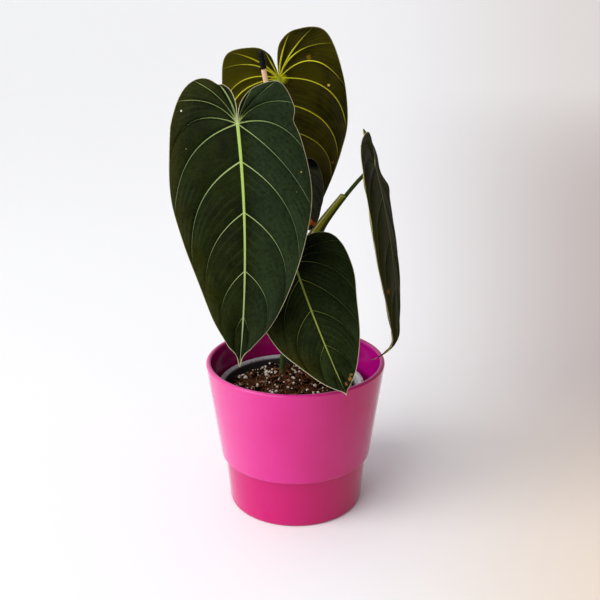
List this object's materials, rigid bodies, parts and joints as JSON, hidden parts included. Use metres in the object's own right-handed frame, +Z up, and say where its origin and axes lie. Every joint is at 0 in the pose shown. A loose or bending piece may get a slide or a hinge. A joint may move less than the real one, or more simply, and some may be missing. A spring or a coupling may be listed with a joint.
{
  "type": "potted black gold philodendron",
  "caption": "Young climbing aroid with dark velvety heart-shaped leaves, staked in a nursery pot that stands in a round glazed cover pot.",
  "frame": {"origin": "centre of the cover pot's flat foot, on the surface it stands on", "axes": "+Z up, the pot's axis; -Y towards the viewer of the large front leaf; +X to that viewer's right"},
  "size_m": [0.174, 0.1708, 0.3812],
  "materials": {
    "pink_glaze": "glossy magenta pink glaze",
    "nursery_plastic": "thin greyish plastic",
    "mix": "loose bark, coir and white perlite",
    "stem": "matt dark green, browner at the base",
    "petiole": "satin olive green",
    "blade": "velvety dark green with pale veins",
    "stake_wood": "bare pale wood",
    "cap_plastic": "black ribbed plastic"
  },
  "bodies": {
    "root": {"cover_pot": "pink_glaze", "nursery_pot": "nursery_plastic", "potting_mix": "mix", "main_stem": "stem", "stake": "stake_wood", "stake_cap": "cap_plastic", "petiole_front": "petiole", "blade_front": "blade", "petiole_back": "petiole", "blade_back": "blade", "petiole_side": "petiole", "blade_side": "blade", "petiole_low": "petiole", "blade_low": "blade", "petiole_young": "petiole", "blade_young": "blade"}
  },
  "joints": []
}
